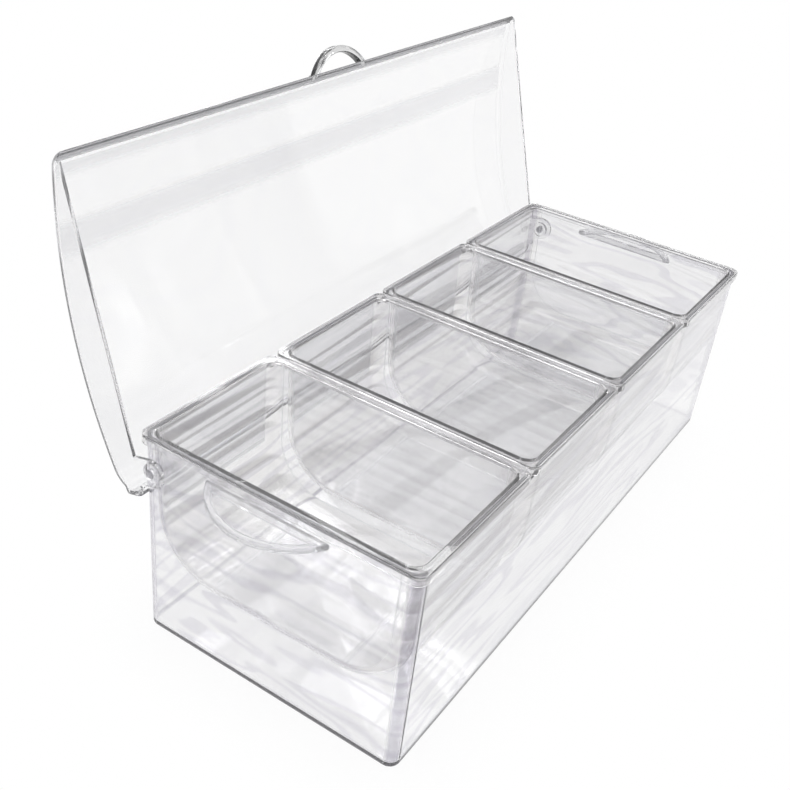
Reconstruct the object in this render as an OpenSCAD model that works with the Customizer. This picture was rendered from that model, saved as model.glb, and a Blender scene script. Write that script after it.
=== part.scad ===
// Chilled condiment server in clear plastic: an ice bin, four lift-out trays in a row and one
// hinged lid, which stands open past upright with its back edge against the bin's rear wall.
// X runs along the row, the user stands at -Y and the hinge is at +Y. The origin is the middle
// of the bin's underside.

/* [Trays] */
// Length of the row of tray rims
row_length = 390; // [340:1:430]
// Depth of the tray rims, front to back
rim_depth = 154.8; // [140:0.2:170]
// Height of the tray rims above the table
rim_top = 118; // [100:0.5:135]
// Height of the skirt that hangs round each rim
skirt_height = 5; // [4:0.5:7]
// Thickness of the rim's flange
flange_thickness = 2; // [1.6:0.1:2.4]
// Thickness of the skirt
skirt_thickness = 1.2; // [1:0.1:1.6]
// Outer corner radius of each rim
rim_corner_r = 5.5; // [4.5:0.5:7]
// Depth of a tray from the rim to its underside
tray_drop = 80; // [65:1:88]
// Thickness of the tray walls
tray_wall = 1.5; // [1.3:0.1:2]
// Big radius between a tray's floor and its front and back walls
tray_belly_r = 36; // [26:1:42]
// Radius in a tray's corners
tray_corner_r = 8; // [7:0.5:10]
// Lean of the tray walls from floor to rim
tray_draft = 1.6; // [1:0.2:2.4]

/* [Bin] */
// Thickness of the bin walls
bin_wall = 1.8; // [1.6:0.1:2.2]
// Thickness of the bin floor
bin_floor = 2.6; // [2:0.2:4]
// Corner radius of the bin at its top
bin_corner_r = 6.5; // [6:0.5:8]
// Radius along the bin's bottom edge
bin_foot_r = 2.5; // [1.5:0.5:4]
// Lean of the bin walls from foot to top
bin_draft = 0.6; // [0.4:0.1:1.2]

/* [Lid] */
// Thickness of the lid
lid_wall = 1.8; // [1.6:0.1:2.2]
// Height of the hinge axis below the rims
hinge_drop = 17.5; // [16:0.5:19]
// Distance of the hinge axis in from the rear of the rims
hinge_inset = 10.4; // [9.8:0.2:11]
// Angle from a level lid to its stop; it shuts 3.6 degrees above level, on the tray rims
lid_swing = 105.9; // [104:0.1:106]
// Height of the lid's crown above the hinge axis
crown_height = 31; // [29:0.2:33]
// Radius over the lid's front edge
lid_front_r = 9; // [8:0.5:10]
// Height of that round's centre above the hinge axis
front_shoulder = 6.8; // [6:0.2:8]
// Radius over the lid's back edge
lid_back_r = 16; // [15:0.5:17]
// Height of that round's centre above the hinge axis
back_shoulder = 10.8; // [10:0.2:11.6]
// Radius round the lid's two ends
lid_end_r = 3.5; // [3:0.5:6]
// Height of the lid's open edge above the hinge axis
lid_edge = 8.6; // [8:0.1:9.4]
// Depth of the solid lip along the lid's front edge
lid_lip = 4.2; // [3:0.2:5]
// Radius of the round ears that carry the lid
ear_r = 7.5; // [7:0.5:8]
// Radius of the hinge pins
pin_r = 2.3; // [2:0.1:2.6]
// Running gap round a hinge pin
pin_gap = 0.06; // [0.02:0.01:0.09]

/* [Handles] */
// Width of an end handle where it meets the bin
handle_span = 68; // [60:1:76]
// Reach of an end handle out from the bin
handle_reach = 20.5; // [17:0.5:23]
// Width of an end handle's bar
handle_bar = 3.6; // [3.2:0.2:4.4]
// Height of an end handle's bar
handle_height = 3.4; // [3.2:0.1:4.4]
// Depth of the flat strip that bonds an end handle to the bin
handle_strip = 2.4; // [1.6:0.2:3]
// Distance of the end handles behind the middle of the bin
handle_back = 3; // [0:0.5:5]
// Gap between the shut lid and the end handles
handle_under_lid = 0.4; // [0.3:0.1:1]
// Width of the lid pull where it meets the lid
pull_span = 50; // [44:1:56]
// Reach of the lid pull out from the lid
pull_reach = 11; // [10:0.5:14]
// Width of the lid pull's bar
pull_bar = 3.6; // [3.2:0.2:4]
// Height of the lid pull's bar
pull_height = 5; // [4.5:0.1:5.5]

/* [Hidden] */
// Smoothness of exact rounds, and of the rounds inside a hull
$fn = 96;
hull_fn = 32;
// Colour of the clear pieces
clear = [0.93, 0.94, 0.95, 0.45];
// Small overlap that keeps cuts clean
eps = 0.01;

tray_count = 4;
tray_gap = 0.4;
tray_pitch = row_length / tray_count;
tray_rim_x = tray_pitch - tray_gap;
rim_half_x = row_length / 2 - tray_gap / 2;
rim_half_y = rim_depth / 2;
flange_under = rim_top - flange_thickness;
skirt_under = rim_top - skirt_height;
// The skirt hangs just outside the bin, and the tray walls just inside it
skirt_clear = 0.2;
tray_clear = 0.3;
bin_half_x = rim_half_x - skirt_thickness - skirt_clear;
bin_half_y = rim_half_y - skirt_thickness - skirt_clear;
rim_reach = skirt_thickness + skirt_clear + bin_wall + tray_clear;
tray_half_x = tray_rim_x / 2 - rim_reach;
tray_half_y = rim_half_y - rim_reach;
tray_under = rim_top - tray_drop;
inner_corner_r = rim_corner_r - skirt_thickness;
// Notches in the bin's long walls take the round corners of neighbouring skirts
notch_x = tray_gap + 2 * (rim_corner_r + skirt_clear);
notch_under = skirt_under - skirt_clear;

hinge_y = rim_half_y - hinge_inset;
hinge_z = rim_top - hinge_drop;
// The lid runs clear of the rims all round, and its front edge clears them as it swings
lid_side_clear = 1;
lid_front_clear = 1;
lid_half_x = rim_half_x + lid_side_clear + lid_wall;
lid_front = hinge_y + rim_half_y + lid_front_clear + lid_wall;
lid_back = hinge_inset + lid_wall + 3.3;
// The back wall stops where its bead meets the bin when the lid is open
bead_depth = 3;
bead_height = 4.6;
bead_r = 1.2;
stop_gap = 0.1;
back_edge = (
  bin_half_y - hinge_y + stop_gap + bead_r + cos(lid_swing) * (bead_r - lid_back)
) / sin(lid_swing) - bead_r;
boss_r = 5;
boss_gap = 0.2;
boss_face = rim_half_x + lid_side_clear - boss_gap;
pin_root = bin_half_x - bin_wall + 0.9;
pin_end = lid_half_x + 0.6;
pin_chamfer = 0.5;
// The shut lid rests its lip on the rims; its sides then pass just over the end handles
lip_back = lid_front - lid_lip;
shut_angle = asin(hinge_drop / norm([lip_back, lid_edge])) - atan2(lid_edge, lip_back);
handle_rear = hinge_y - handle_back - handle_span / 2;
handle_top = (
  hinge_z + lid_edge * cos(shut_angle) + handle_rear * sin(shut_angle) - handle_under_lid
);
bar_round = 1.1;

// Flat rectangle with round corners
module round_plate(x, y, r) {
  square([x - 2 * r, y], center = true);
  square([x, y - 2 * r], center = true);
  for (sx = [-1, 1], sy = [-1, 1]) {
    translate([sx * (x / 2 - r), sy * (y / 2 - r)]) circle(r);
  }
}

// Points along an arc from angle a0 to a1
function arc_points(c, r, a0, a1, steps) =
  [for (i = [0:steps]) c + r * [cos(a0 + (a1 - a0) * i / steps), sin(a0 + (a1 - a0) * i / steps)]];

// Solid with leaning walls and round corners and foot, for the bin and the ice space in it
module bin_form(half_x, half_y, r, foot_r, under, top) {
  low_r = r - bin_draft * (top - under) / flange_under;
  hull() {
    for (sx = [-1, 1], sy = [-1, 1]) {
      translate([sx * (half_x - r), sy * (half_y - r), under]) {
        rotate_extrude($fn = 2 * hull_fn) {
          polygon(concat(
            [[0, top - under], [0, 0]],
            arc_points([low_r - foot_r, foot_r], foot_r, -90, 0, 4),
            [[r, top - under]]
          ));
        }
      }
    }
  }
}

// Everything inside a tray wall: a box whose floor rises in a big radius to front and back
module tray_form(half_x, half_y, under, top, inset) {
  corner_r = tray_corner_r - inset;
  belly_r = tray_belly_r - inset;
  hull() {
    for (sx = [-1, 1], sy = [-1, 1]) {
      translate([sx * (half_x - tray_draft - corner_r), sy * (half_y - tray_draft - belly_r), under + belly_r]) {
        rotate([0, 90, 0]) {
          rotate_extrude($fn = 48) translate([belly_r - corner_r, 0]) circle(corner_r, $fn = hull_fn);
        }
      }
      translate([sx * (half_x - corner_r), sy * (half_y - corner_r), top - 1]) {
        cylinder(h = 1, r = corner_r, $fn = hull_fn);
      }
    }
  }
}

module tray(number) {
  color(clear) translate([(number - (tray_count + 1) / 2) * tray_pitch, 0, 0]) {
    difference() {
      union() {
        translate([0, 0, skirt_under]) {
          linear_extrude(skirt_height) round_plate(tray_rim_x, rim_depth, rim_corner_r);
        }
        tray_form(tray_half_x, tray_half_y, tray_under, skirt_under + 1, 0);
      }
      tray_form(
        tray_half_x - tray_wall, tray_half_y - tray_wall,
        tray_under + tray_wall, rim_top + 1, tray_wall
      );
      translate([0, 0, skirt_under - eps]) {
        linear_extrude(skirt_height - flange_thickness + eps) {
          difference() {
            round_plate(
              tray_rim_x - 2 * skirt_thickness, rim_depth - 2 * skirt_thickness, inner_corner_r
            );
            round_plate(2 * tray_half_x, 2 * tray_half_y, tray_corner_r);
          }
        }
      }
    }
  }
}

module bin() {
  color(clear) difference() {
    union() {
      bin_form(bin_half_x, bin_half_y, bin_corner_r, bin_foot_r, 0, flange_under);
      for (side = [-1, 1]) {
        translate([side * bin_half_x / 2, hinge_y, hinge_z]) {
          rotate([0, side * 90, 0]) cylinder(h = boss_face - bin_half_x / 2, r = boss_r);
        }
      }
    }
    bin_form(
      bin_half_x - bin_wall, bin_half_y - bin_wall, bin_corner_r - bin_wall, bin_foot_r - 1,
      bin_floor, flange_under + 1
    );
    for (side = [-1, 1]) {
      translate([side * pin_root, hinge_y, hinge_z]) {
        rotate([0, side * 90, 0]) cylinder(h = boss_face, r = pin_r);
      }
    }
    for (i = [1:tray_count - 1]) {
      translate([i * tray_pitch - row_length / 2, 0, (flange_under + 1 + notch_under) / 2]) {
        cube([notch_x, rim_depth + 20, flange_under + 1 - notch_under], center = true);
      }
    }
  }
}

// Moves a shape drawn about the hinge axis, forward along +X and up along +Y, onto the open lid
module on_open_lid() {
  translate([0, hinge_y, hinge_z]) {
    rotate([-lid_swing, 0, 0]) rotate([90, 0, -90]) children();
  }
}

// Side view of the lid, seen from its left end: three arcs over two upright edges. The long
// crown is the one arc that touches both rounded edges and reaches the crown's height
function lid_outline(inset, low) = let (
  front = lid_front - inset,
  back = lid_back - inset,
  front_c = [lid_front - lid_front_r, front_shoulder],
  back_c = [lid_back_r - lid_back, back_shoulder],
  front_rise = crown_height - front_shoulder,
  back_rise = crown_height - back_shoulder,
  f = front_rise - lid_front_r,
  b = back_rise - lid_back_r,
  f_sq = pow(front_rise, 2) - pow(lid_front_r, 2),
  b_sq = pow(back_rise, 2) - pow(lid_back_r, 2),
  qa = b - f,
  qb = 2 * (f * back_c[0] - b * front_c[0]),
  qc = b * (pow(front_c[0], 2) + f_sq) - f * (pow(back_c[0], 2) + b_sq),
  crown_x = 2 * qc / (sqrt(pow(qb, 2) - 4 * qa * qc) - qb),
  crown_r = (pow(crown_x - front_c[0], 2) + f_sq) / (2 * f),
  crown = [crown_x, crown_height - crown_r],
  front_a = atan2(front_c[1] - crown[1], front_c[0] - crown[0]),
  back_a = atan2(back_c[1] - crown[1], back_c[0] - crown[0])
) concat(
  [[front, low]],
  arc_points(front_c, lid_front_r - inset, 0, front_a, 8),
  arc_points(crown, crown_r - inset, front_a, back_a, 16),
  arc_points(back_c, lid_back_r - inset, back_a, 180, 8),
  [[-back, low]]
);

// The lid's domed form, rounded at both ends, reaching well below its open edge
module lid_form(inset) {
  steps = 5;
  end_r = lid_end_r - inset;
  hull() {
    for (i = [0:steps]) {
      turn = 90 * i / steps;
      linear_extrude(2 * (lid_half_x - lid_end_r + end_r * sin(turn)), center = true) {
        polygon(lid_outline(inset + end_r * (1 - cos(turn)), 0));
      }
    }
  }
}

module lid() {
  color(clear) on_open_lid() difference() {
    union() {
      difference() {
        lid_form(0);
        difference() {
          lid_form(lid_wall);
          translate([lip_back, 0, -lid_half_x]) {
            cube([lid_lip + 1, crown_height, 2 * lid_half_x]);
          }
        }
        translate([-lid_back - 1, -1, -lid_half_x - 1]) {
          cube([lid_back + lid_front + 2, lid_edge + 1, 2 * lid_half_x + 2]);
        }
        translate([-lid_back - 1, 0, -lid_half_x + lid_end_r]) {
          cube([lid_wall + 2, back_edge, 2 * (lid_half_x - lid_end_r)]);
        }
      }
      translate([bead_depth / 2 - lid_back, back_edge + bead_height / 2, -lid_half_x + lid_end_r]) {
        linear_extrude(2 * (lid_half_x - lid_end_r)) round_plate(bead_depth, bead_height, bead_r);
      }
      for (side = [-1, 1]) {
        translate([0, 0, side * (lid_half_x - lid_wall / 2) - lid_wall / 2]) {
          linear_extrude(lid_wall) {
            circle(ear_r);
            translate([-ear_r, 0]) square([2 * ear_r, lid_edge + 1]);
          }
        }
      }
    }
    translate([0, 0, -lid_half_x - 1]) cylinder(h = 2 * lid_half_x + 2, r = pin_r + pin_gap);
  }
}

// Cross-section of a bar round the point [x, 0], each corner rounded in three steps
function bar_section(x, bar, height) = [
  for (corner = [[1, 1], [-1, 1], [-1, -1], [1, -1]], i = [0:3]) let (
    turn = atan2(corner[1], corner[0]) - 45 + 30 * i
  ) [
    x + corner[0] * (bar / 2 - bar_round) + bar_round * cos(turn),
    corner[1] * (height / 2 - bar_round) + bar_round * sin(turn)
  ]
];

// Round-backed handle lying flat against a straight edge: an arc bar, and any strip on the edge
module d_handle(span, reach, bar, height, strip) {
  arc_r = (pow(span / 2, 2) + pow(reach, 2)) / (2 * reach);
  intersection() {
    union() {
      translate([reach - arc_r, 0, 0]) {
        rotate_extrude($fn = 112) polygon(bar_section(arc_r - bar / 2, bar, height));
      }
      if (strip > 0) {
        intersection() {
          translate([0, -span / 2, -height / 2]) cube([strip, span, height]);
          translate([reach - arc_r, 0, -height / 2]) {
            cylinder(h = height, r = arc_r - bar / 2, $fn = 112);
          }
        }
      }
    }
    translate([0, -span, -height]) cube([2 * span, 2 * span, 2 * height]);
  }
}

// Side is -1 for the left end and 1 for the right
module end_handle(side) {
  wall_x = bin_half_x - bin_draft * (flange_under - handle_top + handle_height) / flange_under;
  color(clear) difference() {
    translate([side * wall_x, handle_back, handle_top - handle_height / 2]) {
      rotate([0, 0, 90 - side * 90]) {
        d_handle(handle_span, handle_reach, handle_bar, handle_height, handle_strip);
      }
    }
    bin_form(bin_half_x, bin_half_y, bin_corner_r, bin_foot_r, 0, flange_under);
  }
}

module hinge_pin(side) {
  color(clear) translate([side * pin_root, hinge_y, hinge_z]) rotate([0, side * 90, 0]) {
    cylinder(h = pin_end - pin_root - pin_chamfer, r = pin_r);
    translate([0, 0, pin_end - pin_root - pin_chamfer]) {
      cylinder(h = pin_chamfer, r1 = pin_r, r2 = pin_r - pin_chamfer);
    }
  }
}

// The pull's feet run back over the lid's rounded front, and its underside is level with the edge
module lid_pull() {
  rise = lid_edge + pull_height - front_shoulder;
  foot = lid_front_r - sqrt(max(0, pow(lid_front_r, 2) - pow(rise, 2)));
  color(clear) on_open_lid() difference() {
    translate([lid_front - foot, lid_edge + pull_height / 2, 0]) rotate([90, 0, 0]) {
      d_handle(pull_span, pull_reach + foot, pull_bar, pull_height, 0);
    }
    lid_form(0);
  }
}

bin();
end_handle(-1);  // end_handle_left
end_handle(1);  // end_handle_right
hinge_pin(-1);  // hinge_pin_left
hinge_pin(1);  // hinge_pin_right
lid();
lid_pull();
tray(1);  // tray_1
tray(2);  // tray_2
tray(3);  // tray_3
tray(4);  // tray_4
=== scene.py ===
"""A clear chilled condiment server with its lid open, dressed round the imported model."""
import math

import bpy
from mathutils import Matrix, Vector


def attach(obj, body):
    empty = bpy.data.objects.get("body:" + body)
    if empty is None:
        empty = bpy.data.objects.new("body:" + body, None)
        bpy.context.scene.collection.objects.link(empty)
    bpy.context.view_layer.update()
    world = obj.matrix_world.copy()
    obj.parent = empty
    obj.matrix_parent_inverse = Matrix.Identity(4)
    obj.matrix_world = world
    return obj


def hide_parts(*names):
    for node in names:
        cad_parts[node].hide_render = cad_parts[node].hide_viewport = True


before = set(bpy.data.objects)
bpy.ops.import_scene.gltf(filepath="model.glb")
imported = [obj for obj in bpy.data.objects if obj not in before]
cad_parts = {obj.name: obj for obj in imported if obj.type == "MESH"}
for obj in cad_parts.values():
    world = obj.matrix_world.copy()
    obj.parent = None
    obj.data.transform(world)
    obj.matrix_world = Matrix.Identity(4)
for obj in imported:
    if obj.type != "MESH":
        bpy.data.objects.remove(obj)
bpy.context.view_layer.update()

# Ice bin.
# One deep box of clear styrene plastic, moulded in one shot: flat walls with a slight lean, a
# small radius all round the foot, and three notches in each long wall for the tray skirts. A
# boss at the rear of each end wall takes a hinge pin in a blind hole.
MM = 0.001  # the pieces' sizes are in millimetres, and the scene is in metres
row_length, row_depth, rim_height = 390, 154.8, 118
tray_count, tray_gap = 4, 0.4
tray_pitch = row_length / tray_count
end_of_rims, front_of_rims = (row_length - tray_gap) / 2, row_depth / 2
rim_corner, skirt_depth, skirt_wall, skirt_gap = 5.5, 5, 1.2, 0.2
flange_wall = 2
bin_top, bin_wall, bin_floor, bin_lean = rim_height - flange_wall, 1.8, 2.6, 0.6
bin_x, bin_y = end_of_rims - skirt_wall - skirt_gap, front_of_rims - skirt_wall - skirt_gap
bin_corner, foot_round, floor_round, top_round = 6.5, 2.5, 1.5, 0.5
corner_cuts, foot_cuts = 8, 6


def corner_ring(half_x, half_y, radius, z):
    """Round-cornered rectangle at height z, from the left end of the front round the right."""
    ring = []
    for quarter, (sx, sy) in enumerate(((-1, -1), (1, -1), (1, 1), (-1, 1))):
        for cut in range(corner_cuts + 1):
            angle = math.radians(180 + 90 * quarter + 90 * cut / corner_cuts)
            ring.append((sx * (half_x - radius) + radius * math.cos(angle),
                         sy * (half_y - radius) + radius * math.sin(angle), z))
    return ring


def bin_ring(inset, radius_cut, lift):
    """The bin's outline at one height, drawn in from the outer wall and by the wall's lean."""
    drawn_in = inset + bin_lean * (1 - lift / bin_top) + radius_cut
    return corner_ring(bin_x - drawn_in, bin_y - drawn_in, bin_corner - drawn_in, lift)


def foot_rings(inset, foot, ground):
    """Rings round a bottom edge, from the flat underside up into the wall."""
    turns = [math.radians(90 * step / foot_cuts) for step in range(foot_cuts + 1)]
    return [bin_ring(inset, foot * (1 - math.sin(turn)), ground + foot * (1 - math.cos(turn)))
            for turn in turns]


def stack_rings(rings):
    """Corner points and faces of a skin that runs through the rings, shut at both ends."""
    count = len(rings[0])
    points = [point for ring in rings for point in ring]
    faces = [list(reversed(range(count)))]
    for level in range(len(rings) - 1):
        low, high = level * count, (level + 1) * count
        for i in range(count):
            j = (i + 1) % count
            faces.append([low + i, low + j, high + j, high + i])
    faces.append(list(range(len(points) - count, len(points))))
    return points, faces


sharp_from = math.radians(35)


def polish(piece):
    """Smooths a piece's rounds, keeps its sharp edges and holds its flat walls flat."""
    mesh = piece.data
    mesh.polygons.foreach_set("use_smooth", [True] * len(mesh.polygons))
    mesh.set_sharp_from_angle(angle=sharp_from)
    flat = piece.modifiers.new("Flat walls", "WEIGHTED_NORMAL")
    flat.keep_sharp = True
    flat.weight = 100


def blank(name, points, faces, place=(0, 0, 0)):
    """A new piece from points in millimetres, as it leaves the mould."""
    mesh = bpy.data.meshes.new(name)
    mesh.from_pydata([[(a + b) * MM for a, b in zip(point, place)] for point in points], [], faces)
    mesh.validate()
    piece = bpy.data.objects.new(name, mesh)
    bpy.context.scene.collection.objects.link(piece)
    return piece


def moulding(name, points, faces, place=(0, 0, 0)):
    """A finished moulded piece, with smooth rounds and flat walls."""
    piece = blank(name, points, faces, place)
    polish(piece)
    return piece


def block(name, low, high):
    """A plain block between two corners, for cutting notches."""
    points = [(x, y, z) for x in (low[0], high[0]) for y in (low[1], high[1]) for z in (low[2], high[2])]
    faces = [(0, 1, 3, 2), (4, 6, 7, 5), (0, 4, 5, 1), (2, 3, 7, 6), (0, 2, 6, 4), (1, 5, 7, 3)]
    return blank(name, points, faces)


def round_bar(name, centre, radius, length, cuts=48):
    """A plain round bar along X, for the bosses and holes at the hinge."""
    ring = [(radius * math.cos(2 * math.pi * i / cuts), radius * math.sin(2 * math.pi * i / cuts))
            for i in range(cuts)]
    points = [(centre[0] + end * length / 2, centre[1] + y, centre[2] + z)
              for end in (-1, 1) for y, z in ring]
    faces = [list(reversed(range(cuts))), list(range(cuts, 2 * cuts))]
    faces += [[i, (i + 1) % cuts, cuts + (i + 1) % cuts, cuts + i] for i in range(cuts)]
    return blank(name, points, faces)


def carve(piece, cutter, how="DIFFERENCE"):
    """Cuts one shape from a piece, or welds it on, and keeps the result as the piece's mesh."""
    piece.modifiers.clear()
    cut = piece.modifiers.new("Cut", "BOOLEAN")
    cut.operation = how
    cut.object = cutter
    cut.solver = "EXACT"
    bpy.context.view_layer.update()
    shaped = bpy.data.meshes.new_from_object(piece.evaluated_get(bpy.context.evaluated_depsgraph_get()))
    piece.modifiers.clear()
    piece.data = shaped
    bpy.data.objects.remove(cutter)
    polish(piece)


def reckon(tree, operation, *operands):
    """One sum in a material's nodes; each operand is a plain number or another node's output."""
    node = tree.nodes.new("ShaderNodeMath")
    node.operation = operation
    for slot, operand in enumerate(operands):
        if isinstance(operand, (int, float)):
            node.inputs[slot].default_value = operand
        else:
            tree.links.new(operand, node.inputs[slot])
    return node


def reckon_place(tree, operation, *operands):
    """The same for a position or direction; a fixed operand is three numbers."""
    node = tree.nodes.new("ShaderNodeVectorMath")
    node.operation = operation
    for slot, operand in enumerate(operands):
        if isinstance(operand, tuple):
            node.inputs[slot].default_value = operand
        else:
            tree.links.new(operand, node.inputs[slot])
    return node


def colour_steps(tree, along, steps):
    """A run of colours along a value, from (position, colour) pairs in rising order."""
    ramp = tree.nodes.new("ShaderNodeValToRGB")
    ends = ramp.color_ramp.elements
    ends[0].position, ends[1].position = steps[0][0], steps[-1][0]
    ends[0].color, ends[1].color = steps[0][1] + (1,), steps[-1][1] + (1,)
    for position, colour in steps[1:-1]:
        ends.new(position).color = colour + (1,)
    tree.links.new(along, ramp.inputs["Fac"])
    return ramp.outputs["Color"]


def cloudy(tree, place, shift, scale, size, detail):
    """Soft random cloud in the piece's own space, drawn out along the axes with a small scale."""
    placed = tree.nodes.new("ShaderNodeMapping")
    placed.inputs["Location"].default_value = shift
    placed.inputs["Scale"].default_value = scale
    cloud = tree.nodes.new("ShaderNodeTexNoise")
    cloud.inputs["Scale"].default_value = 1 / size
    cloud.inputs["Detail"].default_value = detail
    tree.links.new(place, placed.inputs["Vector"])
    tree.links.new(placed.outputs["Vector"], cloud.inputs["Vector"])
    return cloud


# Painted streaks of shade, standing in for the grey streaks that bent light and shadows draw through
# clear plastic, follow a soft random cloud. Beside each of its values stands how clean the plastic is
# there: 1 is clean and 0 is the darkest painted streak, and close values make the crisp edge of a streak.
painted_streak_steps = ((0.3, 0.55), (0.37, 0.65), (0.375, 1.0), (0.43, 1.0), (0.435, 0.15), (0.465, 0.4), (0.47, 1.0),
              (0.53, 1.0), (0.535, 0.4), (0.57, 0.05), (0.575, 1.0), (0.63, 0.95), (0.635, 0.5))
painted_streak_end, painted_streak_clear = 0.7, 0.985
painted_streak_detail, painted_streak_wander = 2.0, 0.05
# On level faces the painted streaks fade by this share.
level_clean = 0.6
# How far a surface turns from its nearest axis, in radians: a rounded edge turns milky along a
# thin line between the first four, which is a painted highlight line, and takes on a painted shade
# between the last two.
highlight_line_start, highlight_line_low, highlight_line_high, highlight_line_end = 0.03, 0.05, 0.075, 0.1
bend_shade_start, bend_shade_end = 0.08, 0.32
# How clear the plastic stays along the painted highlight line.
highlight_line_clear = 0.5
# 1.49 is the refractive index of acrylic. That of clear styrene plastic is about 1.59.
refraction = 1.49
ripple_stretch, ripple_detail = (0.35, 1.0, 1.0), 1.5
clean_tint, lamp_tint = (0.98, 0.98, 0.985), (0.915, 0.915, 0.92)


def clear_plastic(name, depth_tint, density, ripple, ripple_size, darkest_painted_streak, painted_streak_size, run, seed, painted_bend_shade,
                  end_clean=0.3, haze=0.03, satin=0.0):
    """Polished clear plastic: it bends light, is a little grey through its depth, and has the
    faint ripple of a moulding, painted streaks of shade, painted shade on its rounds and a milky
    painted highlight line where they begin. Lamps shine through it with a loss at each wall.
    The run draws the painted streaks out along X and Y, and end_clean fades them on the end walls."""
    material = bpy.data.materials.new(name)
    material.use_nodes = True
    tree = material.node_tree
    nodes, links = tree.nodes, tree.links
    nodes.clear()
    out = nodes.new("ShaderNodeOutputMaterial")
    plastic = nodes.new("ShaderNodeBsdfPrincipled")
    plastic.inputs["IOR"].default_value = refraction
    plastic.inputs["Roughness"].default_value = satin
    place = nodes.new("ShaderNodeTexCoord")

    waves = cloudy(tree, place.outputs["Object"], (seed, seed * 0.7, 0), ripple_stretch, ripple_size,
                   ripple_detail)
    bump = nodes.new("ShaderNodeBump")
    bump.inputs["Strength"].default_value = 1.0
    bump.inputs["Distance"].default_value = ripple
    links.new(waves.outputs["Fac"], bump.inputs["Height"])
    links.new(bump.outputs["Normal"], plastic.inputs["Normal"])

    # Painted streaks of shade: a drawn-out cloud picks the plastic's colour from the steps above.
    drawn_out = (1 / run[0], 1 / run[1], 1.0)
    streak_cloud = cloudy(tree, place.outputs["Object"], (seed * 0.3, seed, 0), drawn_out, painted_streak_size, painted_streak_detail)
    streak_cloud.inputs["Distortion"].default_value = painted_streak_wander
    steps = [(position, tuple(low + (painted_streak_clear - low) * share for low in darkest_painted_streak))
             for position, share in painted_streak_steps]
    painted_streaks = colour_steps(tree, streak_cloud.outputs["Fac"], steps + [(painted_streak_end, (1, 1, 1))])

    # Painted shade on the rounds: the further a surface turns from its nearest axis, the darker it is.
    facing = reckon_place(tree, "ABSOLUTE", place.outputs["Normal"])
    sides = nodes.new("ShaderNodeSeparateXYZ")
    links.new(facing.outputs["Vector"], sides.inputs["Vector"])
    wider = reckon(tree, "MAXIMUM", sides.outputs["X"], sides.outputs["Y"])
    widest = reckon(tree, "MAXIMUM", wider.outputs["Value"], sides.outputs["Z"])
    bend = reckon(tree, "ARCCOSINE", widest.outputs["Value"])
    bend.use_clamp = True
    bend_shade = colour_steps(tree, bend.outputs["Value"], [(bend_shade_start, (1, 1, 1)), (bend_shade_end, painted_bend_shade)])
    # A painted highlight line: a thin milky band where a round begins, lit white by the lamps.
    glassy, highlight_milk = (1 - haze,) * 3, (highlight_line_clear,) * 3
    line = colour_steps(tree, bend.outputs["Value"],
                        [(highlight_line_start, glassy), (highlight_line_low, highlight_milk), (highlight_line_high, highlight_milk), (highlight_line_end, glassy)])
    links.new(line, plastic.inputs["Transmission Weight"])

    # The painted streaks fade on the end walls and on level faces.
    end_on = reckon(tree, "MULTIPLY", sides.outputs["X"], end_clean)
    level = reckon(tree, "MULTIPLY", sides.outputs["Z"], level_clean)
    cleanest = reckon(tree, "MAXIMUM", end_on.outputs["Value"], level.outputs["Value"])
    clean = nodes.new("ShaderNodeMix")
    clean.data_type = "RGBA"
    clean.inputs["B"].default_value = clean_tint + (1,)
    links.new(cleanest.outputs["Value"], clean.inputs["Factor"])
    links.new(painted_streaks, clean.inputs["A"])
    both = nodes.new("ShaderNodeMix")
    both.data_type, both.blend_type = "RGBA", "MULTIPLY"
    both.inputs["Factor"].default_value = 1.0
    links.new(clean.outputs["Result"], both.inputs["A"])
    links.new(bend_shade, both.inputs["B"])
    links.new(both.outputs["Result"], plastic.inputs["Base Color"])

    lamps_through = nodes.new("ShaderNodeBsdfTransparent")
    lamps_through.inputs["Color"].default_value = lamp_tint + (1,)
    path = nodes.new("ShaderNodeLightPath")
    lit = reckon(tree, "MAXIMUM", path.outputs["Is Shadow Ray"], path.outputs["Is Diffuse Ray"])
    choose = nodes.new("ShaderNodeMixShader")
    links.new(lit.outputs["Value"], choose.inputs["Fac"])
    links.new(plastic.outputs["BSDF"], choose.inputs[1])
    links.new(lamps_through.outputs["BSDF"], choose.inputs[2])
    links.new(choose.outputs["Shader"], out.inputs["Surface"])
    depth = nodes.new("ShaderNodeVolumeAbsorption")
    depth.inputs["Color"].default_value = depth_tint + (1,)
    depth.inputs["Density"].default_value = density
    links.new(depth.outputs["Volume"], out.inputs["Volume"])
    return material


# Extra rings hold the walls flat next to their rounds. The middle of a quarter round lies about
# 0.3 of its radius in from both of its faces.
above_foot, above_floor, below_top = 12, 14, bin_top - 8
top_middle = 0.3 * top_round
rings = foot_rings(0, foot_round, 0)
rings += [bin_ring(0, 0, above_foot), bin_ring(0, 0, below_top), bin_ring(0, 0, bin_top - top_round)]
rings += [bin_ring(0, top_middle, bin_top - top_middle), bin_ring(0, top_round, bin_top)]
rings += [bin_ring(bin_wall - top_round, 0, bin_top)]
rings += [bin_ring(bin_wall - top_middle, 0, bin_top - top_middle)]
rings += [bin_ring(bin_wall, 0, bin_top - top_round), bin_ring(bin_wall, 0, below_top)]
rings += [bin_ring(bin_wall, 0, above_floor)]
rings += list(reversed(foot_rings(bin_wall, floor_round, bin_floor)))
bin_points, bin_faces = stack_rings(rings)
ice_bin = moulding("ice_bin", bin_points, bin_faces)
# The bin's darkest painted streak and the painted shade on its rounds are set here.
ice_bin.data.materials.append(clear_plastic(
    "bin_clear_plastic", depth_tint=(0.25, 0.23, 0.28), density=12.0, ripple=0.00012, ripple_size=0.05,
    darkest_painted_streak=(0.81, 0.8, 0.84), painted_streak_size=0.03, run=(8.0, 5.0), seed=1.0, painted_bend_shade=(0.72, 0.71, 0.75),
    end_clean=0.15))

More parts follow.
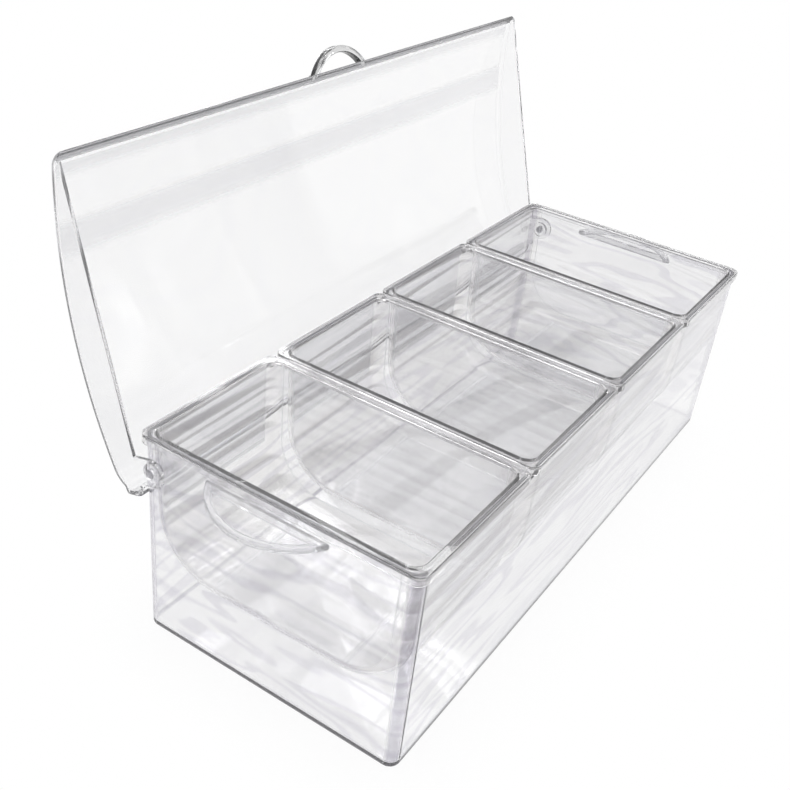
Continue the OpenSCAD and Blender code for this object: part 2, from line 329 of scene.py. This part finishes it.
# The notches' cutter runs well past the walls, and the holes' cutter past the boss's face.
cutter_y, cutter_top, past_face = 100, 130, 2
notch_width, notch_floor = tray_gap + 2 * (rim_corner + skirt_gap), rim_height - skirt_depth - skirt_gap
for between_trays in (-1, 0, 1):
    middle = between_trays * tray_pitch
    carve(ice_bin, block("notch", (middle - notch_width / 2, -cutter_y, notch_floor),
                         (middle + notch_width / 2, cutter_y, cutter_top)))
hinge_inset, hinge_drop = 10.4, 17.5
hinge_y, hinge_z = front_of_rims - hinge_inset, rim_height - hinge_drop
boss_radius, pin_radius, pin_gap = 5, 2.3, 0.06
boss_root, boss_face, hole_start = bin_x - 1, end_of_rims + 0.8, bin_x - 0.9
hole_stop = boss_face + past_face
for end in (-1, 1):
    boss_at = (end * (boss_root + boss_face) / 2, hinge_y, hinge_z)
    hole_at = (end * (hole_start + hole_stop) / 2, hinge_y, hinge_z)
    carve(ice_bin, round_bar("boss", boss_at, boss_radius, boss_face - boss_root), "UNION")
    carve(ice_bin, round_bar("pin_hole", hole_at, pin_radius, hole_stop - hole_start))
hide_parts("bin")
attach(ice_bin, "bin_body")

# End handles.
# A D-shaped grip of the same clear plastic across each end wall: a bowed bar and a flat strip,
# moulded in one and bonded to the wall just under the rims. More haze than the other pieces have
# keeps it as light as it shows in the photograph.
# Its faint painted streaks and painted shade on the rounds are set here.
handle_plastic = clear_plastic(
    "handle_clear_plastic", depth_tint=(0.25, 0.23, 0.28), density=4.0, ripple=0.00004, ripple_size=0.02,
    darkest_painted_streak=(0.95, 0.95, 0.955), painted_streak_size=0.03, run=(1.0, 1.0), seed=3.0, painted_bend_shade=(0.9, 0.9, 0.91),
    haze=0.2)


def dress(piece_name, *plastics):
    """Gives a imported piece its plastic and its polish."""
    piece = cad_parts[piece_name]
    piece.data.materials.clear()
    for plastic in plastics:
        piece.data.materials.append(plastic)
    polish(piece)
    return piece


for handle in ("end_handle_left", "end_handle_right"):
    dress(handle, handle_plastic)

# Hinge pins.
# Short clear studs pressed into the blind hole at each end of the bin, which the lid's ears turn
# on. They look like the handles.
for pin in ("hinge_pin_left", "hinge_pin_right"):
    dress(pin, handle_plastic)

# Trays.
# Four lift-out trays in a row, each a thin moulding with a floor that sweeps up to the front and
# back in a big radius, and a flat rim with a short skirt that hangs over the bin's wall.
tray_clear, tray_depth = 0.3, 80
tray_reach = skirt_wall + skirt_gap + bin_wall + tray_clear
rim_x = (tray_pitch - tray_gap) / 2
tray_x, tray_y = rim_x - tray_reach, front_of_rims - tray_reach
tray_floor, tray_wall, belly, tray_corner, tray_lean = rim_height - tray_depth, 1.5, 36, 8, 1.6
belly_cuts = 14


def belly_line(half_y, floor, radius, top):
    """A tray's side view: down the front wall, round the belly, and up the back wall."""
    turn_z = floor + radius
    line = [(-half_y, top), (-(half_y - tray_lean * 0.5), (top + turn_z) / 2)]
    for step in range(belly_cuts + 1):
        angle = math.radians(180 + 90 * step / belly_cuts)
        line.append((-(half_y - tray_lean - radius) + radius * math.cos(angle),
                     turn_z + radius * math.sin(angle)))
    line.append((0, floor))
    return line + [(-y, z) for y, z in reversed(line[:-1])]


def tray_shell(half_x, half_y, floor, radius, corner, top):
    """Rows of points from one end wall to the other, with the corner drawn in at both ends."""
    rows = []
    for end in (-1, 1):
        for cut in range(corner_cuts + 1):
            turn = math.radians(90 * (cut if end == 1 else corner_cuts - cut) / corner_cuts)
            inset, x = corner * (1 - math.cos(turn)), half_x - corner + corner * math.sin(turn)
            row = []
            for y, z in belly_line(half_y - inset, floor + inset, radius - inset, top):
                row.append((end * (x - tray_lean * (top - z) / (top - floor)), y, z))
            rows.append(row)
    return rows


def shell_and_rim(outer, rim, inner):
    """Joins an outer shell, the rings of a rim and an inner shell into one closed piece."""
    points, faces = [], []

    def add_rows(rows, inward):
        """Lays one skin's faces and gives back the points round its open edge."""
        start, count = len(points), len(rows[0])
        points.extend(point for row in rows for point in row)
        for i in range(len(rows) - 1):
            for j in range(count - 1):
                a, b = start + i * count + j, start + (i + 1) * count + j
                face = [a, a + 1, b + 1, b]
                faces.append(face[::-1] if inward else face)
        first = [start + j for j in range(count)]
        last = [start + (len(rows) - 1) * count + j for j in range(count)]
        faces.append(first if inward else first[::-1])
        faces.append(last[::-1] if inward else last)
        front = [start + i * count for i in range(len(rows))]
        back = [start + i * count + count - 1 for i in range(len(rows))]
        return front + back[::-1]

    loops = [add_rows(outer, False)]
    for ring in rim:
        loops.append([len(points) + i for i in range(len(ring))])
        points.extend(ring)
    loops.append(add_rows(inner, True))
    for low, high in zip(loops, loops[1:]):
        for i in range(len(low)):
            j = (i + 1) % len(low)
            faces.append([low[i], low[j], high[j], high[i]])
    return points, faces


least_corner = 0.4


def rim_ring(inset, z):
    """The rim's outline at one height, drawn in from its outer face."""
    return corner_ring(rim_x - inset, front_of_rims - inset, max(rim_corner - inset, least_corner), z)


# The rim runs from the tray's wall along the flange's underside, down inside the skirt, round its
# lower edge, up its outside and over the top. The two rounds are steps in from the outer face, and
# up from the skirt's edge or down from the top.
wall_seat, inner_chamfer, skirt_chamfer, lip = 0.5, 0.3, 0.2, 0.7
skirt_round = ((0.3, 0), (0.08, 0.1), (0, 0.4))
lip_round = ((0.05, 0.43), (0.2, 0.2), (0.43, 0.05), (lip, 0))
flange_under, skirt_under = rim_height - flange_wall, rim_height - skirt_depth
tray_rim = [corner_ring(tray_x + wall_seat, tray_y + wall_seat, tray_corner + wall_seat, flange_under)]
tray_rim += [rim_ring(skirt_wall + inner_chamfer, flange_under)]
tray_rim += [rim_ring(skirt_wall, flange_under - inner_chamfer)]
tray_rim += [rim_ring(skirt_wall, skirt_under + skirt_chamfer)]
tray_rim += [rim_ring(skirt_wall - skirt_chamfer, skirt_under)]
tray_rim += [rim_ring(inset, skirt_under + up) for inset, up in skirt_round]
tray_rim += [rim_ring(0, rim_height - lip)]
tray_rim += [rim_ring(inset, rim_height - down) for inset, down in lip_round]
tray_in_x, tray_in_y, tray_in_corner = tray_x - tray_wall, tray_y - tray_wall, tray_corner - tray_wall
for out, down in reversed(lip_round):
    tray_rim.append(corner_ring(tray_in_x + out, tray_in_y + out, tray_in_corner + out, rim_height - down))
tray_outside = tray_shell(tray_x, tray_y, tray_floor, belly, tray_corner, flange_under - wall_seat)
tray_inside = tray_shell(tray_in_x, tray_in_y, tray_floor + tray_wall, belly - tray_wall, tray_in_corner,
                         rim_height - lip)
tray_points, tray_faces = shell_and_rim(tray_outside, tray_rim, tray_inside)
# The trays' dark painted streaks and the painted shade on their rounds are set here.
tray_plastic = clear_plastic(
    "tray_clear_plastic", depth_tint=(0.42, 0.36, 0.26), density=5.0, ripple=0.00018, ripple_size=0.03,
    darkest_painted_streak=(0.48, 0.47, 0.47), painted_streak_size=0.026, run=(30.0, 12.0), seed=5.0, painted_bend_shade=(0.95, 0.945, 0.94),
    end_clean=0.85)
for number in range(1, tray_count + 1):
    tray_place = ((number - (tray_count + 1) / 2) * tray_pitch, 0, 0)
    tray = moulding(f"garnish_tray_{number}", tray_points, tray_faces, tray_place)
    tray.data.materials.append(tray_plastic)
    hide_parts(f"tray_{number}")
    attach(tray, f"tray_{number}_body")

# Lid.
# One shallow domed cover over all the trays, moulded in clear plastic with rounded edges, a solid
# lip along the front, a bead along the back that rests on the bin when it is open, and an ear at
# each end for the hinge.
lid_wall, lid_open, lid_clear, lid_behind = 1.8, math.radians(105.9), 1, 3.3
lid_x = end_of_rims + lid_clear + lid_wall
lid_front, lid_back = hinge_y + front_of_rims + lid_clear + lid_wall, hinge_inset + lid_wall + lid_behind
lid_edge, lid_lip, lid_end, edge_round = 8.6, 4.2, 3.5, 0.4
crown_z, front_round, front_z, back_round, back_z = 31, 9, 6.8, 16, 10.8
crown_x, crown_round = 47.86, 285.08
stop_gap, bead_depth, bead_round, bead_nose = 0.1, 3, 1.2, 0.9
bead_foot, bead_slope, bead_join, bead_taper = 4.2, 5.4, 6, 0.8
# The back edge reaches down until its bead meets the bin's rear wall when the lid is open.
bead_reach = bin_y - hinge_y + stop_gap + bead_round + math.cos(lid_open) * (bead_round - lid_back)
back_edge = bead_reach / math.sin(lid_open) - bead_round
round_cuts, crown_cuts = 8, 24


def arc(centre, radius, start, stop, cuts):
    """Points round an arc, without its first one."""
    turns = [start + (stop - start) * step / cuts for step in range(1, cuts + 1)]
    return [(centre[0] + radius * math.cos(turn), centre[1] + radius * math.sin(turn)) for turn in turns]


def lid_line(inset, inside):
    """The lid's side view as forward and up from the hinge: front edge, crown, back edge."""
    front = (lid_front - front_round, front_z)
    back = (back_round - lid_back, back_z)
    crown = (crown_x, crown_z - crown_round)
    front_turn = math.atan2(front[1] - crown[1], front[0] - crown[0])
    back_turn = math.atan2(back[1] - crown[1], back[0] - crown[0])
    if inside:
        start = math.acos((front_round - lid_lip) / (front_round - inset))
        edge, inward = lid_front - lid_lip, 1
    else:
        start = math.asin((lid_edge + edge_round - front_z) / (front_round - inset))
        edge, inward = front[0] + (front_round - inset) * math.cos(start), -1
    line = [(edge + inward * edge_round * (1 - math.sin(turn)), lid_edge + edge_round * (1 - math.cos(turn)))
            for turn in (0, math.pi / 6, math.pi / 3, math.pi / 2)]
    if inside:
        line.append((edge, front[1] + (front_round - inset) * math.sin(start)))
    stop = math.pi - math.asin((back_edge + bead_join - back_z) / (back_round - inset))
    line += arc(front, front_round - inset, start, front_turn, round_cuts)
    line += arc(crown, crown_round - inset, front_turn, back_turn, crown_cuts)
    line += arc(back, back_round - inset, back_turn, stop, round_cuts)
    return line


def lid_rows(skin, bead):
    """Rows of the lid's outer or inner skin, from its left end wall to its right one."""
    rows = []
    for end in (-1, 1):
        for cut in range(corner_cuts + 1):
            step = cut if end == 1 else corner_cuts - cut
            turn = math.radians(90 * step / corner_cuts)
            round_left = lid_end - skin
            inset = skin + round_left * (1 - math.cos(turn))
            x = lid_x - lid_end + round_left * math.sin(turn)
            low = lid_edge if step == corner_cuts else back_edge
            edge = inset - lid_back
            line = lid_line(inset, skin > 0)
            line += [(edge, back_edge + bead_slope), (edge + bead, back_edge + bead_foot),
                     (edge + bead, low + bead_nose), (edge + bead * bead_taper, low)]
            rows.append([(end * x, d, n) for d, n in line])
    return rows


def hang(rows):
    """Moves the lid's points from shut, about the hinge, to where it stands open."""
    c, s = math.cos(lid_open), math.sin(lid_open)
    return [[(x, hinge_y - d * c + n * s, hinge_z + d * s + n * c) for x, d, n in row] for row in rows]


lid_outside, lid_inside = hang(lid_rows(0, 0)), hang(lid_rows(lid_wall, bead_depth - lid_wall))
lid_points, lid_faces = shell_and_rim(lid_outside, [], lid_inside)
lid = moulding("domed_lid", lid_points, lid_faces)

# The ears are half discs under the end walls, welded on a hair inside the walls' faces.
ear, ear_cuts, ear_root, ear_inset, bore_length = 7.5, 40, lid_edge + 0.6, 0.01, 10
half_turn = [math.pi * i / ear_cuts - math.pi / 2 for i in range(ear_cuts + 1)]
ear_line = [(ear * math.sin(turn), -ear * math.cos(turn)) for turn in half_turn]
ear_line += [(ear, ear_root), (-ear, ear_root)]
ear_faces_at = (lid_x - lid_wall + ear_inset, lid_x - ear_inset)
for end in (-1, 1):
    ear_points, ear_faces = stack_rings(hang([[(end * x, d, n) for d, n in ear_line] for x in ear_faces_at]))
    carve(lid, moulding("ear", ear_points, ear_faces), "UNION")
    carve(lid, round_bar("pin_hole", (end * lid_x, hinge_y, hinge_z), pin_radius + pin_gap, bore_length))
lid.data.materials.clear()
lid.data.materials.append(clear_plastic(
    "lid_clear_plastic", depth_tint=(0.28, 0.27, 0.3), density=12.0, ripple=0.00008, ripple_size=0.06,
    darkest_painted_streak=(0.975, 0.975, 0.98), painted_streak_size=0.08, run=(1.5, 1.5), seed=7.0, painted_bend_shade=(1.0, 1.0, 1.0),
    haze=0.04, satin=0.05))
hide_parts("lid")
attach(lid, "lid_body")

# Lid pull.
# A half ring of thick clear plastic, bonded to the middle of the lid's rounded front edge. The
# faces that look in towards its root carry a near-black painted shade as a material of their own,
# which draws the dark arc along the inside of the pull.
pull_looks = dict(depth_tint=(0.3, 0.3, 0.3), density=15.0, ripple=0.00003, ripple_size=0.02, painted_streak_size=0.03,
                  run=(1.0, 1.0), seed=9.0, haze=0.0)
pull = dress(
    "lid_pull",
    clear_plastic("pull_clear_plastic", darkest_painted_streak=(0.95, 0.95, 0.95), painted_bend_shade=(0.7, 0.7, 0.7), **pull_looks),
    clear_plastic("pull_inner_painted_shade", darkest_painted_streak=(0.012, 0.012, 0.012), painted_bend_shade=(0.1, 0.1, 0.1), **pull_looks))
pull_root, least_inward = Vector((0, 0.117, 0.2345)), 0.4
# Faces that look in towards the root take the painted shade.
for face in pull.data.polygons:
    inward = (pull_root - face.center).normalized()
    face.material_index = 1 if face.normal.dot(inward) > least_inward else 0

# Table.
# A plain white table a hair below the bin, so that the plastic's underside keeps its air gap. It
# glows an even white to the camera and through or in the plastic, and near the bin a small share
# of its own shading stays, which is the faint shadow round the foot.
table_half, table_drop = 6, 0.0004
table = bpy.data.objects.new("table", bpy.data.meshes.new("table"))
table.data.from_pydata([(x * table_half, y * table_half, -table_drop)
                        for x, y in ((-1, -1), (1, -1), (1, 1), (-1, 1))], [], [(0, 1, 2, 3)])
bpy.context.scene.collection.objects.link(table)
white = bpy.data.materials.new("white_table")
white.use_nodes = True
tree = white.node_tree
paper = tree.nodes["Principled BSDF"]
paper.inputs["Base Color"].default_value = (0.9, 0.9, 0.9, 1)
paper.inputs["Roughness"].default_value = 0.9
paper.inputs["Specular IOR Level"].default_value = 0.0
glow = tree.nodes.new("ShaderNodeEmission")
glow.inputs["Color"].default_value = (1, 1, 1, 1)
shaded_half = (0.17, 0.055, 0)
shade_width, glow_under = 0.06, 0.85
spot = tree.nodes.new("ShaderNodeTexCoord")
fold = reckon_place(tree, "ABSOLUTE", spot.outputs["Object"])
past = reckon_place(tree, "SUBTRACT", fold.outputs["Vector"], shaded_half)
outside = reckon_place(tree, "MAXIMUM", past.outputs["Vector"], (0, 0, 0))
away = reckon_place(tree, "LENGTH", outside.outputs["Vector"])
share = tree.nodes.new("ShaderNodeMapRange")
share.inputs["From Min"].default_value, share.inputs["From Max"].default_value = 0.0, shade_width
share.inputs["To Min"].default_value, share.inputs["To Max"].default_value = glow_under, 1.0
seen_by = tree.nodes.new("ShaderNodeLightPath")
either = reckon(tree, "MAXIMUM", seen_by.outputs["Is Camera Ray"], seen_by.outputs["Is Transmission Ray"])
any_of = reckon(tree, "MAXIMUM", either.outputs["Value"], seen_by.outputs["Is Glossy Ray"])
amount = reckon(tree, "MULTIPLY", any_of.outputs["Value"], share.outputs["Result"])
table_look = tree.nodes.new("ShaderNodeMixShader")
tree.links.new(away.outputs["Value"], share.inputs["Value"])
tree.links.new(amount.outputs["Value"], table_look.inputs["Fac"])
tree.links.new(paper.outputs["BSDF"], table_look.inputs[1])
tree.links.new(glow.outputs["Emission"], table_look.inputs[2])
tree.links.new(table_look.outputs["Shader"], tree.nodes["Material Output"].inputs["Surface"])
table.data.materials.append(white)

# Room.
# A bright room that is greyest about half of the way up, with three dark cards standing round the
# table, so that the plastic's edges have something to pick up. Only the camera's own view of it is
# plain white: what the plastic mirrors and bends is the greyer room.
wall_tones = [(0.0, (0.95, 0.95, 0.95))]
wall_tones += [(level, (tone, tone, tone * 1.02)) for level, tone in
               ((0.14, 0.9), (0.26, 0.74), (0.5, 0.68), (0.62, 0.8))]
wall_tones += [(1.0, (0.8, 0.8, 0.81))]
card_tones = [(0.5, (1, 1, 1)), (0.62, (0.2, 0.2, 0.205))]
card_count, card_turn = 3.0, 0.7
card_foot, card_top = (0.1, 0.2), (0.62, 0.5)
world = bpy.data.worlds.new("white_room")
world.use_nodes = True
bpy.context.scene.world = world
tree = world.node_tree
tree.nodes.clear()
sky_out = tree.nodes.new("ShaderNodeOutputWorld")
direction = tree.nodes.new("ShaderNodeTexCoord")
split = tree.nodes.new("ShaderNodeSeparateXYZ")
tree.links.new(direction.outputs["Generated"], split.inputs["Vector"])
walls = colour_steps(tree, split.outputs["Z"], wall_tones)
heading = reckon(tree, "ARCTAN2", split.outputs["Y"], split.outputs["X"])
turns = reckon(tree, "MULTIPLY_ADD", heading.outputs["Value"], card_count, card_turn)
around = reckon(tree, "SINE", turns.outputs["Value"])
cards = colour_steps(tree, around.outputs["Value"], card_tones)


def fade(tree, height, start, stop):
    """Runs from 0 to 1 between two heights."""
    node = tree.nodes.new("ShaderNodeMapRange")
    node.inputs["From Min"].default_value, node.inputs["From Max"].default_value = start, stop
    tree.links.new(height, node.inputs["Value"])
    return node.outputs["Result"]


under_top, over_foot = fade(tree, split.outputs["Z"], *card_top), fade(tree, split.outputs["Z"], *card_foot)
where = reckon(tree, "MULTIPLY", under_top, over_foot)
shaded = tree.nodes.new("ShaderNodeMix")
shaded.data_type, shaded.blend_type = "RGBA", "MULTIPLY"
tree.links.new(where.outputs["Value"], shaded.inputs["Factor"])
tree.links.new(walls, shaded.inputs["A"])
tree.links.new(cards, shaded.inputs["B"])
room = tree.nodes.new("ShaderNodeBackground")
tree.links.new(shaded.outputs["Result"], room.inputs["Color"])
plain = tree.nodes.new("ShaderNodeBackground")
plain.inputs["Color"].default_value = (1, 1, 1, 1)
path = tree.nodes.new("ShaderNodeLightPath")
seen = tree.nodes.new("ShaderNodeMixShader")
tree.links.new(path.outputs["Is Camera Ray"], seen.inputs["Fac"])
tree.links.new(room.outputs["Background"], seen.inputs[1])
tree.links.new(plain.outputs["Background"], seen.inputs[2])
tree.links.new(seen.outputs["Shader"], sky_out.inputs["Surface"])

# Lamps.
# One wide soft box overhead, and four long tubes set round an arch beyond the far end of the row,
# which draw thin bright streaks along the curved plastic.


def soft_lamp(name, at, towards, size, power):
    """An oblong lamp that faces one point."""
    data = bpy.data.lights.new(name, "AREA")
    data.shape = "RECTANGLE"
    data.size, data.size_y = size
    data.energy = power
    lamp = bpy.data.objects.new(name, data)
    bpy.context.scene.collection.objects.link(lamp)
    lamp.location = at
    lamp.rotation_euler = (Vector(towards) - Vector(at)).to_track_quat("-Z", "Y").to_euler()


soft_lamp("overhead", (0.1, -0.3, 1.6), (0, 0, 0), (1.8, 1.4), 9)
arch_x, arch_radius, tube_size, tube_power = 1.0, 1.3, (0.09, 3.0), 2.6
for number, turn in enumerate((58, 34, 12, -14)):
    lean = math.radians(turn)
    soft_lamp(f"tube_{number}", (arch_x, arch_radius * math.sin(lean), arch_radius * math.cos(lean)),
              (arch_x, 0, 0), tube_size, tube_power)

# Camera.
# Above the near left end, looking along the row and down onto it, as the photograph is taken, with
# the small roll that it was held with.
azimuth, elevation, roll = math.radians(-59.852), math.radians(32.176), math.radians(6.726)
camera_distance, aim = 0.645887, Vector((-0.008536, 0.053417, 0.060))
focal_pixels, picture_pixels, sensor = 1079.6, 790, 36
back = Vector((math.sin(azimuth) * math.cos(elevation), -math.cos(azimuth) * math.cos(elevation),
               math.sin(elevation)))
right = (-back).cross(Vector((0, 0, 1))).normalized()
up = right.cross(-back)
right, up = (math.cos(roll) * right + math.sin(roll) * up, -math.sin(roll) * right + math.cos(roll) * up)
camera_data = bpy.data.cameras.new("camera")
camera_data.sensor_width = sensor
camera_data.lens = focal_pixels / picture_pixels * sensor
camera = bpy.data.objects.new("camera", camera_data)
bpy.context.scene.collection.objects.link(camera)
held = Matrix((right, up, back)).transposed().to_4x4()
held.translation = aim + back * camera_distance
camera.matrix_world = held

# A ray may pass through many clear walls, one behind the other.
through_walls = 40
scene = bpy.context.scene
scene.camera = camera
scene.cycles.max_bounces = through_walls
scene.cycles.transmission_bounces = through_walls
scene.cycles.glossy_bounces = 8
scene.cycles.transparent_max_bounces = through_walls
scene.cycles.diffuse_bounces = 3
scene.view_settings.view_transform = "Standard"
